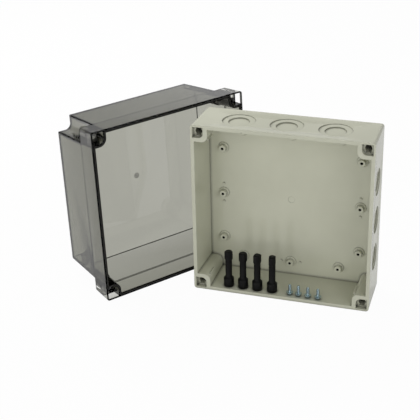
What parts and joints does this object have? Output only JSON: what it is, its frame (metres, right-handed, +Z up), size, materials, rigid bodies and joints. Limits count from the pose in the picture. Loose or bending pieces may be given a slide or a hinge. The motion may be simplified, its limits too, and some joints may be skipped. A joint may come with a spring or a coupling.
{
  "type": "electrical enclosure",
  "caption": "Square wall-mounted electrical enclosure shown open: shallow grey base with bosses and knock-outs, deep clear cover with notched corners, gasket and loose screws.",
  "frame": {"origin": "middle of the four wall-fixing holes, in the plane of the base's back face", "axes": "+X to the right seen from the open side, +Y out of the back face into the wall, +Z up"},
  "size_m": [0.3217, 0.1917, 0.18],
  "materials": {
    "base": "light warm grey moulded plastic, fine satin texture",
    "cover": "smoke-grey clear polycarbonate, polished",
    "gasket": "dark foamed sealing strip",
    "cover_screw": "black moulded nylon",
    "plate_screw": "bright zinc plated steel"
  },
  "bodies": {
    "base": {"base": "base"},
    "cover": {"cover": "cover", "gasket": "gasket"},
    "cover_screw_1": {"cover_screw_1": "cover_screw"},
    "cover_screw_2": {"cover_screw_2": "cover_screw"},
    "cover_screw_3": {"cover_screw_3": "cover_screw"},
    "cover_screw_4": {"cover_screw_4": "cover_screw"},
    "plate_screw_1": {"plate_screw_1": "plate_screw"},
    "plate_screw_2": {"plate_screw_2": "plate_screw"},
    "plate_screw_3": {"plate_screw_3": "plate_screw"},
    "plate_screw_4": {"plate_screw_4": "plate_screw"}
  },
  "joints": [
    {"name": "cover_off", "type": "slide", "parent": "base", "child": "cover", "axis": [-0.8018, 0.5976, 0], "range_m": [0, 0.12]},
    {"name": "cover_screw_1_lift", "type": "slide", "parent": "base", "child": "cover_screw_1", "axis": [0, 0, 1], "range_m": [0, 0.06]},
    {"name": "cover_screw_2_lift", "type": "slide", "parent": "base", "child": "cover_screw_2", "axis": [0, 0, 1], "range_m": [0, 0.06]},
    {"name": "cover_screw_3_lift", "type": "slide", "parent": "base", "child": "cover_screw_3", "axis": [0, 0, 1], "range_m": [0, 0.06]},
    {"name": "cover_screw_4_lift", "type": "slide", "parent": "base", "child": "cover_screw_4", "axis": [0, 0, 1], "range_m": [0, 0.06]},
    {"name": "plate_screw_1_lift", "type": "slide", "parent": "base", "child": "plate_screw_1", "axis": [0, 0, 1], "range_m": [0, 0.06]},
    {"name": "plate_screw_2_lift", "type": "slide", "parent": "base", "child": "plate_screw_2", "axis": [0, 0, 1], "range_m": [0, 0.06]},
    {"name": "plate_screw_3_lift", "type": "slide", "parent": "base", "child": "plate_screw_3", "axis": [0, 0, 1], "range_m": [0, 0.06]},
    {"name": "plate_screw_4_lift", "type": "slide", "parent": "base", "child": "plate_screw_4", "axis": [0, 0, 1], "range_m": [0, 0.06]}
  ]
}
